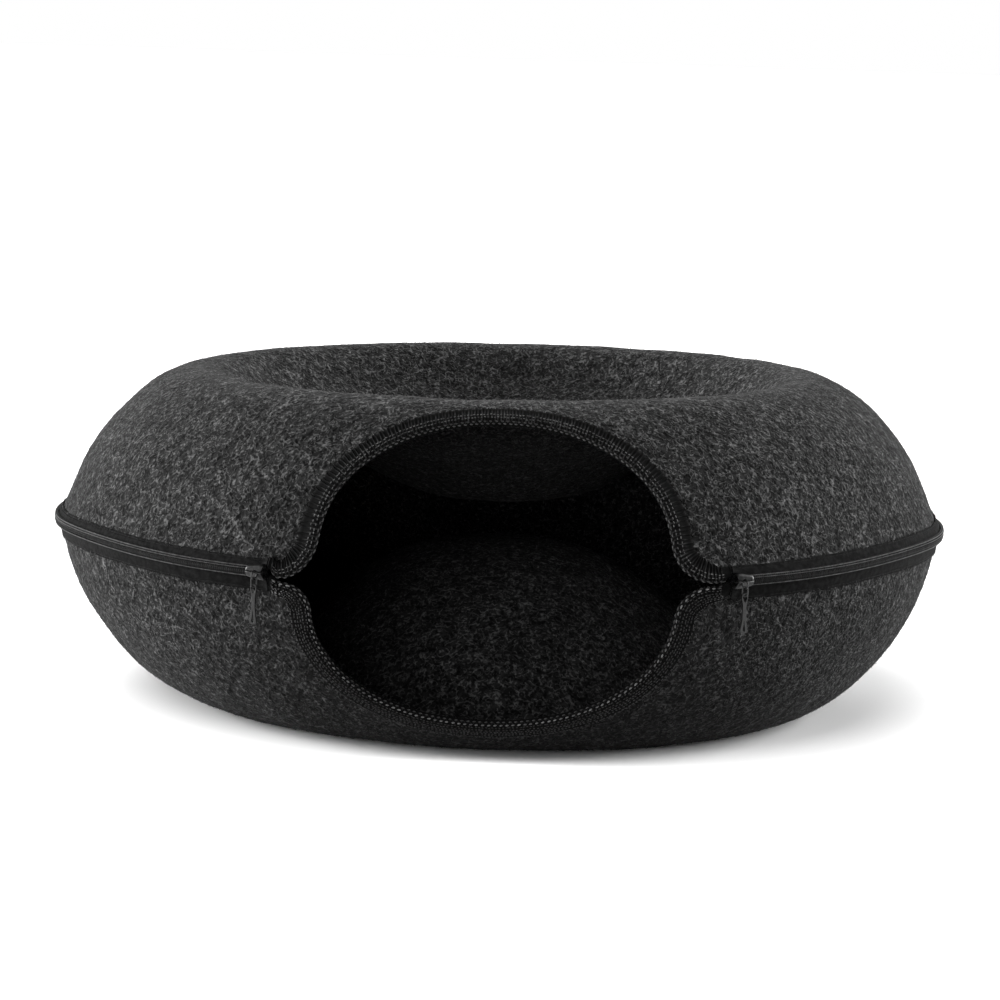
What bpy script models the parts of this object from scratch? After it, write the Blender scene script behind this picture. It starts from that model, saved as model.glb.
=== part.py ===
"""Round felt cat cave: two dished felt halves, zipped together at the waist, with a doorway in front.

Metres, +Z up. The floor is z = 0, the doorway faces -Y, and the origin is the middle of the footprint.
Azimuth is measured about the cave's own axis, from the front, positive towards +X.
"""

import math

import bmesh
import bpy
import numpy as np

# ---- driving dimensions ----------------------------------------------------------------------------
AXIS_Y = -0.0116  # the round body's axis, a little before the box's middle because the doorway is cut away
ZIP_HEIGHT = 0.0995  # the zip line above the floor
FELT_THICKNESS = 0.0025
GAP = 0.0003  # between pieces that are sewn or fitted together
RIM_RADIUS = 0.2470  # felt's outer face at the zip
LEAN = 0.0033  # the waist is higher on the right by this much at the rim
SHOULDER_RISE = 0.0025  # and rises a little at both front shoulders
SHOULDER_AZIMUTH = math.radians(62)
SHOULDER_SPREAD = math.radians(18)
UNEVEN_REACH = {"top": 0.075, "bottom": 0.128}  # along the felt, by where the unevenness has died out
BASE_SWAY = 0.0020  # the lower half's foot stands this far to the right of the waist

# Outer face of each half, from the rim to the middle of the dish: (radius, distance from the zip line).
PROFILES = {
    "top": (
        (0.2470, 0.0034),
        (0.2430, 0.0130),
        (0.2333, 0.0350),
        (0.2104, 0.0650),
        (0.1784, 0.0840),
        (0.1620, 0.0834),
        (0.1440, 0.0680),
        (0.0906, 0.0401),
        (0.0500, 0.0202),
        (0.0000, 0.0148),
    ),
    "bottom": (
        (0.2470, 0.0034),
        (0.2450, 0.0140),
        (0.2385, 0.0350),
        (0.2179, 0.0680),
        (0.1810, 0.0965),
        (0.1560, 0.0990),
        (0.1261, 0.0740),
        (0.0906, 0.0430),
        (0.0500, 0.0202),
        (0.0000, 0.0140),
    ),
}

# Doorway: the cut edge of the felt, laid flat round the rim. "height" is measured along the felt.
DOORS = {
    "top": {
        "half_width": 0.0970,
        "height": 0.0920,
        "power": 2.05,
        "corner": 0.0180,
        "shift": -0.0020,
        "skew": 0.0,
    },
    "bottom": {
        "half_width": 0.0983,
        "height": 0.0880,
        "power": 2.15,
        "corner": 0.0140,
        "shift": -0.0016,
        "skew": -0.0040,
    },
}
DOOR_SHIFT_RAMP = 0.125  # share of the outline, at each end, over which the sideways shift builds up

# Zip sliders, parked beside the doorway's corners. The zip's pieces end a little before them, at its side.
SLIDER_AZIMUTHS = {"left": math.radians(-29.3), "right": math.radians(29.9)}
TAPE_ENDS_BEFORE = math.radians(1.10)
EDGING_ENDS_BEFORE = math.radians(1.40)
COIL_ENDS_BEFORE = math.radians(0.60)
CORNER_DROOPS = {"left": 0.0040, "right": 0.0020}  # the unzipped lips beside the doorway sag by this much
CORNER_DROOP_STARTS = math.radians(1.10)  # before the slider
CORNER_DROOP_LENGTH = math.radians(1.50)
CORNER_DROOP_REACH = 0.040  # along the felt, away from the waist
SLIDER_SPAN = math.radians(1.30)  # the zip runs straight under a slider, to this far behind its middle

# Edging that wraps the doorway's cut edge.
EDGING_OVERLAP = 0.0090
EDGING_END_OVERLAP = 0.0040
EDGING_INSIDE = 0.0060
EDGING_LIP = 0.0016
EDGING_THICKNESS = 0.0008
EDGING_TAPER = 0.0200
EDGING_FROM_LINE = 0.0003  # it stays this far on its own side of the zip line
EDGING_SLACK = 0.0002  # more room on the felt's inner face, which the mesh cuts across in chords
EDGING_FOLD = 0.0005  # from the felt's cut edge to the edging's inner face

# Zip. "Out" is measured from the felt's outer face at the rim.
TAPE_OVERLAPS = {"top": 0.0034, "bottom": 0.0066}  # on the felt, at the front and back
TAPE_SKEWS = {"top": 0.0008, "bottom": 0.0}  # wider by this much at the right, narrower at the left
TAPE_THICKNESS = 0.0008
TAPE_PAST_EDGE = 0.0022  # past the felt's edge, towards the zip line
TAPE_BULGE = 0.0006
COIL_FROM_LINE = (0.00025, 0.00265)
COIL_HEIGHT = 0.0019
COIL_BASE_OUT = 2 * GAP + TAPE_BULGE + TAPE_THICKNESS
COIL_SHAPE = ((0.0, 0.0), (0.0, 0.65), (0.3, 1.0), (0.7, 0.92), (1.0, 0.5), (1.0, 0.0))  # (across, up)

# Slider: boxes of (along the zip towards the doorway, out, up), as lowest and highest corner.
SLIDER_BOXES = {
    "outer_plate": ((-0.0051, 0.0042, -0.0039), (0.0051, 0.0053, 0.0039)),
    "upper_flange": ((-0.0042, 0.0021, 0.0031), (0.0042, 0.0046, 0.0038)),
    "lower_flange": ((-0.0042, 0.0021, -0.0038), (0.0042, 0.0046, -0.0031)),
    "wedge": ((0.0030, -0.0006, -0.0008), (0.0049, 0.0046, 0.0008)),
    "inner_plate": ((-0.0044, -0.0008, -0.0028), (0.0050, 0.0001, 0.0028)),
}
BAIL_PATH = (  # (along, out)
    (-0.0040, 0.0050),
    (-0.0037, 0.0070),
    (-0.0028, 0.00765),
    (0.0028, 0.00765),
    (0.0037, 0.0070),
    (0.0040, 0.0050),
)
BAIL_WIDTH = 0.0009
SLIDER_ROUNDING = 0.0005

# The ring on the bail, the link on the ring and the pull on the link.
HANG_ALONG = 0.0020  # they hang this far towards the doorway from the slider's middle
HANG_OUT = 0.0082
RING_WIRE, RING_RADIUS, RING_HEIGHT = 0.00038, 0.0023, -0.00115
LINK_WIRE, LINK_HALF_WIDTH, LINK_HALF_LENGTH, LINK_HEIGHT = 0.00032, 0.0014, 0.0025, -0.00485
LINK_TURN = math.radians(45)
PULL_THICKNESS = 0.0008
PULL_OUTLINE = (  # (height, half width)
    (-0.0058, 0.0009),
    (-0.0062, 0.0015),
    (-0.0068, 0.00175),
    (-0.0096, 0.0017),
    (-0.0115, 0.0012),
    (-0.0190, 0.0011),
    (-0.0225, 0.0016),
    (-0.0248, 0.0021),
    (-0.0258, 0.0019),
    (-0.0263, 0.0011),
)
PULL_SLOTS = (
    ((-0.0067, 0.0008), (-0.0070, 0.00115), (-0.0086, 0.00110), (-0.0104, 0.0003)),
    ((-0.0212, 0.0002), (-0.0240, 0.0008), (-0.0249, 0.0007), (-0.0253, 0.0003)),
)

# Meshing.
SURFACE_STEP = 0.0005  # radians and metres, for the slopes of the felt's surface
EDGE_STEP = 0.0010
MERGE_DISTANCE = 1e-6
SHARP_ANGLE = math.radians(40)
LIP_COLUMNS, CORNER_COLUMNS, ARCH_COLUMNS = 2, 4, 22
ZIP_COLUMNS = 36
RING_COLUMNS = 14
DOOR_FAN = math.radians(52)  # azimuth that the doorway's last column reaches at the collar
BAND_ROWS = (0.0, 0.0045, 0.0090)
COLLAR = 0.1180  # distance along the felt past which every column has the same rows
COLLAR_STEPS = 4
DISH_ROWS = {
    "top": (0.1180, 0.1310, 0.1430, 0.1560, 0.1780, 0.2080, 0.2500),
    "bottom": (0.1180, 0.1305, 0.1405, 0.1540, 0.1720, 0.2020, 0.2400, 0.2800),
}
SIGN = {"top": 1.0, "bottom": -1.0}
FINISHES = {  # colour, roughness, metallic
    "felt": ((0.022, 0.022, 0.023), 0.95, 0.0),
    "edging": ((0.010, 0.010, 0.011), 0.80, 0.0),
    "zip_tape": ((0.008, 0.008, 0.009), 0.85, 0.0),
    "zip_coil": ((0.012, 0.012, 0.013), 0.45, 0.0),
    "metal": ((0.060, 0.060, 0.063), 0.35, 1.0),
}


# ---- scene -----------------------------------------------------------------------------------------
def clear_scene():
    for obj in list(bpy.data.objects):
        bpy.data.objects.remove(obj, do_unlink=True)


def make_collection(name):
    collection = bpy.data.collections.new(name)
    bpy.context.scene.collection.children.link(collection)
    return collection


def make_material(name, colour, roughness, metallic=0.0):
    material = bpy.data.materials.new(name)
    material.use_nodes = True
    shader = material.node_tree.nodes["Principled BSDF"]
    shader.inputs["Base Color"].default_value = (*colour, 1.0)
    shader.inputs["Roughness"].default_value = roughness
    shader.inputs["Metallic"].default_value = metallic
    return material


# ---- the felt's surface ----------------------------------------------------------------------------
def natural_spline(knots, values):
    """Natural cubic spline through the values, as a function of one number."""
    knots, values = np.array(knots), np.array(values)
    steps = np.diff(knots)
    slopes = np.diff(values) / steps
    count = len(knots)
    system, right = np.eye(count), np.zeros(count)
    for i in range(1, count - 1):
        system[i, i - 1 : i + 2] = steps[i - 1], 2 * (steps[i - 1] + steps[i]), steps[i]
        right[i] = 6 * (slopes[i] - slopes[i - 1])
    bends = np.linalg.solve(system, right)

    def value_at(t):
        i = int(np.clip(np.searchsorted(knots, t) - 1, 0, count - 2))
        a, b, step = knots[i + 1] - t, t - knots[i], steps[i]
        cubic = (bends[i] * a**3 + bends[i + 1] * b**3) / (6 * step)
        return float(
            cubic
            + (values[i] / step - bends[i] * step / 6) * a
            + (values[i + 1] / step - bends[i + 1] * step / 6) * b
        )

    return value_at


class Profile:
    """A half's outer face in section, mirrored past the axis so that the dish is level in its middle."""

    def __init__(self, rows):
        whole = list(rows) + [(-radius, height) for radius, height in reversed(rows[:-1])]
        chords = [math.dist(a, b) for a, b in zip(whole, whole[1:])]
        knots = np.concatenate([[0.0], np.cumsum(chords)])
        self.length = float(knots[len(rows) - 1])
        self.radius = natural_spline(knots, [row[0] for row in whole])
        self.height = natural_spline(knots, [row[1] for row in whole])

    def at(self, along):
        """(radius, distance from the zip line). The foot is pressed flat where it would pass the floor."""
        return self.radius(along), min(self.height(along), ZIP_HEIGHT)


SECTIONS = {half: Profile(rows) for half, rows in PROFILES.items()}


def waist_rise(azimuth):
    """How much higher than ZIP_HEIGHT the zip line is at an azimuth."""
    from_shoulder = (abs(azimuth) - SHOULDER_AZIMUTH) / SHOULDER_SPREAD
    return LEAN * math.sin(azimuth) + SHOULDER_RISE * math.exp(-(from_shoulder**2))


def corner_droop(azimuth):
    """How far the unzipped lip sags below the zip line at an azimuth."""
    side = "left" if azimuth < 0 else "right"
    start = abs(SLIDER_AZIMUTHS[side]) - CORNER_DROOP_STARTS
    share = min(1.0, max(0.0, (start - abs(azimuth)) / CORNER_DROOP_LENGTH))
    return CORNER_DROOPS[side] * share * share * (3 - 2 * share)


def felt_point(half, azimuth, along):
    """A point of a half's outer face."""
    radius, height = SECTIONS[half].at(along)
    turned = math.remainder(azimuth, 2 * math.pi)
    share = max(0.0, 1 - along / UNEVEN_REACH[half])
    droop = corner_droop(turned) * max(0.0, 1 - along / CORNER_DROOP_REACH)
    if half == "top":
        lean = LEAN * math.sin(turned)
        rise = lean * radius / RIM_RADIUS + (waist_rise(turned) - lean) * share
        z, sway = ZIP_HEIGHT + height + rise - droop, 0.0
    else:
        rise = waist_rise(turned) * share
        z, sway = ZIP_HEIGHT - height + rise - droop, BASE_SWAY * (1 - share)
    return np.array([radius * math.sin(turned) + sway, AXIS_Y - radius * math.cos(turned), z])


def felt_normal(half, azimuth, along):
    """The outward normal of a half's outer face."""
    small = SURFACE_STEP
    around = felt_point(half, azimuth + small, along) - felt_point(half, azimuth - small, along)
    inward = felt_point(half, azimuth, along + small) - felt_point(half, azimuth, along - small)
    normal = np.cross(around, inward) * SIGN[half]
    return normal / np.linalg.norm(normal)


# ---- the felt's cut edge ---------------------------------------------------------------------------
def ends(before):
    """The azimuths (left, right) at which a piece ends that stops so far before the two sliders."""
    return SLIDER_AZIMUTHS["left"] + before, SLIDER_AZIMUTHS["right"] - before


def door_outline(half):
    """The doorway's cut edge as (arc round the rim, distance up the felt), from left zip end to right."""
    door = DOORS[half]
    side, top, power, radius = door["half_width"], door["height"], door["power"], door["corner"]
    left_end, right_end = (azimuth * RIM_RADIUS for azimuth in ends(TAPE_ENDS_BEFORE))

    def half_outline(zip_end):
        lip = [(x, 0.0) for x in np.linspace(zip_end, side + radius, LIP_COLUMNS + 1)[:-1]]
        corner = [
            (side + radius * (1 - math.sin(a)), radius * (1 - math.cos(a)))
            for a in np.linspace(0, math.pi / 2, CORNER_COLUMNS + 1)[:-1]
        ]
        arch = []
        for a in np.linspace(0, math.pi / 2, ARCH_COLUMNS // 2 + 1):
            up = radius + (top - radius) * math.sin(a) ** (2 / power)
            arch.append((side * math.cos(a) ** (2 / power), up))
        return lip + corner + arch

    left = [(-x, s) for x, s in half_outline(-left_end)]
    outline = left + list(reversed(half_outline(right_end)[:-1]))
    places = np.linspace(0, 1, len(outline))
    ramp = [min(1.0, place / DOOR_SHIFT_RAMP, (1 - place) / DOOR_SHIFT_RAMP) for place in places]
    return np.array(
        [(x + door["shift"] * share + door["skew"] * s / top, s) for (x, s), share in zip(outline, ramp)]
    )


def edge_directions(points):
    """At each point of an edge, the unit direction across it, into the felt, in the flat plan."""
    along = np.gradient(points, axis=0)
    along /= np.linalg.norm(along, axis=1)[:, None]
    return np.stack([-along[:, 1], along[:, 0]], axis=1)


def door_columns(half):
    """[(azimuth, distance up the felt, direction into it, azimuth at the collar)] along the doorway."""
    points = door_outline(half)
    directions = edge_directions(points)
    directions[0] = directions[-1] = (0.0, 1.0)
    fans = np.linspace(-DOOR_FAN, DOOR_FAN, len(points))
    return [(x / RIM_RADIUS, s, d, fan) for (x, s), d, fan in zip(points, directions, fans)]


def zip_columns(before=TAPE_ENDS_BEFORE):
    """The same list along the zip, from its right end round the back to its left end."""
    left, right = ends(before)
    left_slider, right_slider = ends(-SLIDER_SPAN)
    even = np.linspace(right_slider, 2 * math.pi + left_slider, ZIP_COLUMNS - 1)
    azimuths = [right, *even, 2 * math.pi + left]
    fans = np.linspace(DOOR_FAN, 2 * math.pi - DOOR_FAN, ZIP_COLUMNS + 1)
    return [(azimuth, 0.0, np.array([0.0, 1.0]), fan) for azimuth, fan in zip(azimuths, fans)]


def in_from_edge(column, depth):
    """(azimuth, distance up the felt) of the place that lies depth in from the cut edge."""
    azimuth, along, direction, _ = column
    return azimuth + direction[0] * depth / RIM_RADIUS, along + direction[1] * depth


def column_places(half, column):
    """(azimuth, distance up the felt) of each row of one column, from the cut edge to the dish's middle."""
    fan = column[3]
    places = [in_from_edge(column, depth) for depth in BAND_ROWS]
    start_azimuth, start_along = places[-1]
    for step in range(1, COLLAR_STEPS):
        share = step / COLLAR_STEPS
        eased = 1 - (1 - share) ** 2
        azimuth = start_azimuth + (fan - start_azimuth) * eased
        places.append((azimuth, start_along + (COLLAR - start_along) * share))
    return places + [(fan, along) for along in (*DISH_ROWS[half], SECTIONS[half].length)]


# ---- meshes ----------------------------------------------------------------------------------------
def loft(name, sections, material, collection, round_sections=True, round_path=False):
    """A skin over sections of points, with flat ends where the path is open and its sections are closed."""
    mesh = bmesh.new()
    rings = [[mesh.verts.new(point) for point in section] for section in sections]
    size = len(rings[0])
    pairs = list(zip(rings, rings[1:])) + ([(rings[-1], rings[0])] if round_path else [])
    for first, second in pairs:
        for i in range(size if round_sections else size - 1):
            j = (i + 1) % size
            mesh.faces.new((first[i], second[i], second[j], first[j]))
    if round_sections and not round_path:
        mesh.faces.new(rings[0])
        mesh.faces.new(tuple(reversed(rings[-1])))
    bmesh.ops.remove_doubles(mesh, verts=mesh.verts, dist=MERGE_DISTANCE)
    if round_sections:
        bmesh.ops.recalc_face_normals(mesh, faces=mesh.faces)
    return object_from(name, mesh, material, collection)


def object_from(name, mesh, material, collection):
    data = bpy.data.meshes.new(name)
    mesh.to_mesh(data)
    mesh.free()
    data.materials.append(material)
    data.shade_smooth()
    data.set_sharp_from_angle(angle=SHARP_ANGLE)
    obj = bpy.data.objects.new(name, data)
    collection.objects.link(obj)
    return obj


def make_felt_half(half, material, collection):
    """One moulded felt half: its outer face, thickened inwards."""
    columns = door_columns(half)[:-1] + zip_columns()[:-1]
    sections = [
        [felt_point(half, *place) for place in column_places(half, column)] for column in columns
    ]
    if half == "bottom":
        sections.reverse()
    obj = loft(f"felt_{half}", sections, material, collection, round_sections=False, round_path=True)
    thickness = obj.modifiers.new("felt", "SOLIDIFY")
    thickness.thickness = FELT_THICKNESS
    thickness.offset = -1.0
    return obj


def edge_frame(half, column):
    """Where the felt's cut edge is, and the directions into the felt and out of its face there."""
    here = felt_point(half, column[0], column[1])
    into = felt_point(half, *in_from_edge(column, EDGE_STEP)) - here
    return here, into / np.linalg.norm(into), felt_normal(half, column[0], column[1])


def on_felt(half, column, depth, out):
    """The point that lies depth in from the cut edge and out above the felt's outer face."""
    place = in_from_edge(column, depth)
    return felt_point(half, *place) + felt_normal(half, *place) * out


def edging_section(half, column, overlap):
    """The edging's section: over the felt's outer face, round its cut edge and in on its inner face."""
    edge, into, out = edge_frame(half, column)
    inner = -FELT_THICKNESS - GAP - EDGING_SLACK
    line = ZIP_HEIGHT + waist_rise(column[0]) - corner_droop(column[0])

    def past_edge(depth, height):
        """A point beyond the cut edge, which stays on its own side of the zip line."""
        point = edge + into * depth + out * height
        from_line = max(EDGING_FROM_LINE, SIGN[half] * (point[2] - line))
        return np.array([point[0], point[1], line + SIGN[half] * from_line])

    return [
        on_felt(half, column, overlap, GAP),
        on_felt(half, column, overlap, GAP + EDGING_THICKNESS * 0.5),
        on_felt(half, column, overlap * 0.5, GAP + EDGING_THICKNESS),
        past_edge(0.0, GAP + EDGING_THICKNESS),
        past_edge(-EDGING_LIP * 0.8, GAP + EDGING_THICKNESS * 0.3),
        past_edge(-EDGING_LIP, -FELT_THICKNESS * 0.5),
        past_edge(-EDGING_LIP * 0.8, inner - EDGING_THICKNESS * 0.3),
        past_edge(0.0, inner - EDGING_THICKNESS),
        on_felt(half, column, EDGING_INSIDE, inner - EDGING_THICKNESS * 0.6),
        on_felt(half, column, EDGING_INSIDE, inner),
        past_edge(-EDGING_FOLD, inner),
        past_edge(-EDGING_FOLD, GAP),
        on_felt(half, column, overlap * 0.5, GAP),
    ]


def make_edging(half, material, collection):
    """The overlocked edging round one half's side of the doorway, narrower where it runs out."""
    columns = door_columns(half)
    for place, azimuth in zip((0, -1), ends(EDGING_ENDS_BEFORE)):
        columns[place] = (azimuth, 0.0, np.array([0.0, 1.0]), 0.0)
    flat = np.array([(azimuth * RIM_RADIUS, along) for azimuth, along, _, _ in columns])
    run = np.concatenate([[0.0], np.cumsum(np.linalg.norm(np.diff(flat, axis=0), axis=1))])
    sections = []
    for column, distance in zip(columns, run):
        share = min(1.0, min(distance, run[-1] - distance) / EDGING_TAPER)
        overlap = EDGING_END_OVERLAP + (EDGING_OVERLAP - EDGING_END_OVERLAP) * share
        sections.append(edging_section(half, column, overlap))
    return loft(f"edging_{half}", sections, material, collection)


def zip_frame(half, azimuth):
    """At the felt's rim: its edge's point, and the directions away from the zip line and out."""
    turned = math.remainder(azimuth, 2 * math.pi)
    edge = felt_point(half, azimuth, 0.0)
    return edge, np.array([0, 0, SIGN[half]]), np.array([math.sin(turned), -math.cos(turned), 0.0])


def tape_section(half, column):
    """A tape's section: flat on the felt, then out past its cut edge, bulging a little."""
    edge, away, out = zip_frame(half, column[0])
    past = edge - away * TAPE_PAST_EDGE + out * (GAP + TAPE_BULGE)
    overlap = TAPE_OVERLAPS[half] + TAPE_SKEWS[half] * math.sin(column[0])
    depths = (overlap, overlap / 2)
    inside = [on_felt(half, column, depth, GAP) for depth in depths] + [edge + out * GAP, past]
    outside = [on_felt(half, column, depth, GAP + TAPE_THICKNESS) for depth in depths]
    outside += [edge + out * (GAP + TAPE_THICKNESS + TAPE_BULGE / 2), past + out * TAPE_THICKNESS]
    return inside + list(reversed(outside))


def coil_section(half, column):
    """One coil row's section: a rounded ridge on its tape's outer face."""
    edge, away, out = zip_frame(half, column[0])
    line = edge - away * PROFILES[half][0][1]
    near, far = COIL_FROM_LINE
    return [
        line + away * (near + (far - near) * across) + out * (COIL_BASE_OUT + COIL_HEIGHT * up)
        for across, up in COIL_SHAPE
    ]


def make_zip_row(half, tape_material, coil_material, collection):
    tape = [tape_section(half, column) for column in zip_columns()]
    loft(f"zip_tape_{half}", tape, tape_material, collection)
    coil = [coil_section(half, column) for column in zip_columns(COIL_ENDS_BEFORE)]
    loft(f"zip_coil_{half}", coil, coil_material, collection)


# ---- sliders and pulls -----------------------------------------------------------------------------
def slider_place(side, collection):
    """An empty on the felt's rim radius at a slider: its +X runs round the rim and its -Y points out."""
    azimuth = SLIDER_AZIMUTHS[side]
    empty = bpy.data.objects.new(f"place_{side}", None)
    height = ZIP_HEIGHT + waist_rise(azimuth)
    empty.location = (RIM_RADIUS * math.sin(azimuth), AXIS_Y - RIM_RADIUS * math.cos(azimuth), height)
    empty.rotation_euler = (0.0, 0.0, azimuth)
    collection.objects.link(empty)
    return empty


def door_sign(side):
    """The sign of the empty's X that points to the doorway."""
    return 1.0 if side == "left" else -1.0


def make_box(name, low, high, sign, parent, material, collection):
    """A box between two corners given as (towards the doorway, out, up)."""
    mesh = bmesh.new()
    bmesh.ops.create_cube(mesh, size=1.0)
    middle = [(a + b) / 2 for a, b in zip(low, high)]
    size = [b - a for a, b in zip(low, high)]
    bmesh.ops.scale(mesh, vec=size, verts=mesh.verts)
    bmesh.ops.translate(mesh, vec=(sign * middle[0], -middle[1], middle[2]), verts=mesh.verts)
    obj = object_from(name, mesh, material, collection)
    obj.parent = parent
    return obj


def make_bail(name, sign, parent, material, collection):
    """The low bridge on the outer plate, along the zip, that the ring hangs on."""
    half = BAIL_WIDTH / 2
    path = np.array(BAIL_PATH)
    sections = []
    for (along, out), (run, rise) in zip(path, np.gradient(path, axis=0)):
        length = math.hypot(run, rise)
        across = (-rise / length * half, run / length * half)
        corners = ((1, -half), (1, half), (-1, half), (-1, -half))
        sections.append(
            [(sign * (along + k * across[0]), -(out + k * across[1]), up) for k, up in corners]
        )
    obj = loft(name, sections, material, collection)
    obj.parent = parent
    return obj


def make_slider(side, parent, material, parts, cutters):
    """One slider: its outer plate, joined with its flanges, its wedge, its inner plate and its bail."""
    sign = door_sign(side)
    slider = None
    for name, (low, high) in SLIDER_BOXES.items():
        if slider is None:
            slider = make_box(f"slider_{side}", low, high, sign, parent, material, parts)
            rounding = slider.modifiers.new("rounding", "BEVEL")
            rounding.width = SLIDER_ROUNDING
            rounding.segments = 1
            continue
        join(slider, make_box(f"{name}_{side}", low, high, sign, parent, material, cutters))
    join(slider, make_bail(f"bail_{side}", sign, parent, material, cutters))
    return slider


def join(obj, other):
    """Adds the other object's solid to the object, and hides the other."""
    other.hide_render = True
    other.display_type = "WIRE"
    union = obj.modifiers.new(other.name, "BOOLEAN")
    union.operation = "UNION"
    union.object = other


def make_loop(name, centre, half_width, half_length, turn, wire, parent, material, collection):
    """A closed loop of wire, upright, its width along the direction that is turned from X about Z."""
    curve = bpy.data.curves.new(name, "CURVE")
    curve.dimensions = "3D"
    curve.bevel_depth = wire
    curve.bevel_resolution = 2
    spline = curve.splines.new("POLY")
    spline.points.add(RING_COLUMNS - 1)
    straight = half_length - half_width
    for i, point in enumerate(spline.points):
        angle = 2 * math.pi * (i + 0.5) / RING_COLUMNS
        across = half_width * math.cos(angle)
        up = half_width * math.sin(angle) + math.copysign(straight, math.sin(angle))
        point.co = (across * math.cos(turn), across * math.sin(turn), up, 1.0)
    spline.use_cyclic_u = True
    curve.materials.append(material)
    obj = bpy.data.objects.new(name, curve)
    obj.location = centre
    obj.parent = parent
    collection.objects.link(obj)
    return obj


def make_pull(name, centre, parent, material, collection):
    """The flat pull: a slotted head, a slim bar and a forked end, hanging down."""
    curve = bpy.data.curves.new(name, "CURVE")
    curve.dimensions = "2D"
    curve.fill_mode = "BOTH"
    curve.extrude = PULL_THICKNESS / 2
    for outline in (PULL_OUTLINE, *PULL_SLOTS):
        points = [(half, up) for up, half in outline] + [(-half, up) for up, half in reversed(outline)]
        spline = curve.splines.new("POLY")
        spline.points.add(len(points) - 1)
        for point, (across, up) in zip(spline.points, points):
            point.co = (across, up, 0.0, 1.0)
        spline.use_cyclic_u = True
    curve.materials.append(material)
    obj = bpy.data.objects.new(name, curve)
    obj.location = centre
    obj.rotation_euler = (math.pi / 2, 0.0, 0.0)
    obj.parent = parent
    collection.objects.link(obj)
    return obj


def make_hanging(side, parent, collection):
    """The ring on the bail, the link on the ring and the pull on the link."""
    sign = door_sign(side)
    along, out = sign * HANG_ALONG, -HANG_OUT
    make_loop(
        f"ring_{side}",
        (along, out, RING_HEIGHT),
        RING_RADIUS,
        RING_RADIUS,
        math.pi / 2,
        RING_WIRE,
        parent,
        finish(f"ring_{side}", "metal"),
        collection,
    )
    make_loop(
        f"link_{side}",
        (along, out, LINK_HEIGHT),
        LINK_HALF_WIDTH,
        LINK_HALF_LENGTH,
        sign * LINK_TURN,
        LINK_WIRE,
        parent,
        finish(f"link_{side}", "metal"),
        collection,
    )
    make_pull(f"pull_{side}", (along, out, 0.0), parent, finish(f"pull_{side}", "metal"), collection)


# ---- the whole object ------------------------------------------------------------------------------
def finish(name, kind):
    return make_material(name, *FINISHES[kind])


def main():
    clear_scene()
    parts = make_collection("felt_cat_cave")
    cutters = make_collection("joined_pieces")
    cutters.hide_render = True
    for half in ("top", "bottom"):
        make_felt_half(half, finish(f"felt_{half}", "felt"), parts)
        make_edging(half, finish(f"edging_{half}", "edging"), parts)
        tape, coil = finish(f"zip_tape_{half}", "zip_tape"), finish(f"zip_coil_{half}", "zip_coil")
        make_zip_row(half, tape, coil, parts)
    for side in ("left", "right"):
        place = slider_place(side, parts)
        make_slider(side, place, finish(f"slider_{side}", "metal"), parts, cutters)
        make_hanging(side, place, parts)


main()
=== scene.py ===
"""Looks of the round felt cat cave: heathered felt, overlocked doorway, zip and sliders, on a pale floor.

Metres, +Z up, the doorway faces -Y. Azimuth is measured about the cave's own axis, from the front, positive
towards +X. "Along" is a distance on the felt's outer face, away from the zip.
"""

import math

import bpy
import numpy as np
from mathutils import Matrix, Vector, noise


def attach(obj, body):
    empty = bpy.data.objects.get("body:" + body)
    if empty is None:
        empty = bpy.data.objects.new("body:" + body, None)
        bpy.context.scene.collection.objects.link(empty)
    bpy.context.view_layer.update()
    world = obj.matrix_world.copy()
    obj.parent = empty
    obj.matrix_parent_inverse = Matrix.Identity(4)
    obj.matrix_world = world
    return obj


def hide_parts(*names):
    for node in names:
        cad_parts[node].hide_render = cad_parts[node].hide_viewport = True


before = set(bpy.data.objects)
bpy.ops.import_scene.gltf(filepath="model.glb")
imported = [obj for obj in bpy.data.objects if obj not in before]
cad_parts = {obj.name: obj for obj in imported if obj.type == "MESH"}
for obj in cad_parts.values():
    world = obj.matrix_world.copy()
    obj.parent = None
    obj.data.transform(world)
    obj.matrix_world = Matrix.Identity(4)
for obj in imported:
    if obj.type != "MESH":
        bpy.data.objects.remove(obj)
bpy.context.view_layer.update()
random = np.random.default_rng(7)

# ---- dimensions, as in the part's source
AXIS_Y = -0.0116
ZIP_HEIGHT = 0.0995
FELT_THICKNESS = 0.0025
GAP = 0.0003
RIM_RADIUS = 0.2470
LEAN = 0.0033
SHOULDER_RISE = 0.0025
SHOULDER_AZIMUTH = math.radians(62)
SHOULDER_SPREAD = math.radians(18)
UNEVEN_REACH = {"top": 0.075, "bottom": 0.128}
BASE_SWAY = 0.0020
PROFILES = {  # (radius, distance from the zip line)
    "top": (
        (0.2470, 0.0034), (0.2430, 0.0130), (0.2333, 0.0350), (0.2104, 0.0650), (0.1784, 0.0840),
        (0.1620, 0.0834), (0.1440, 0.0680), (0.0906, 0.0401), (0.0500, 0.0202), (0.0000, 0.0148),
    ),
    "bottom": (
        (0.2470, 0.0034), (0.2450, 0.0140), (0.2385, 0.0350), (0.2179, 0.0680), (0.1810, 0.0965),
        (0.1560, 0.0990), (0.1261, 0.0740), (0.0906, 0.0430), (0.0500, 0.0202), (0.0000, 0.0140),
    ),
}
DOORS = {
    "top": (0.0970, 0.0920, 2.05, 0.0180, -0.0020, 0.0),
    "bottom": (0.0983, 0.0880, 2.15, 0.0140, -0.0016, -0.0040),
}  # half width, height, power, corner, shift, skew
DOOR_SHIFT_RAMP = 0.125
SLIDER_AZIMUTHS = {"left": math.radians(-29.3), "right": math.radians(29.9)}
TAPE_ENDS_BEFORE = math.radians(1.10)
EDGING_ENDS_BEFORE = math.radians(1.40)
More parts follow.
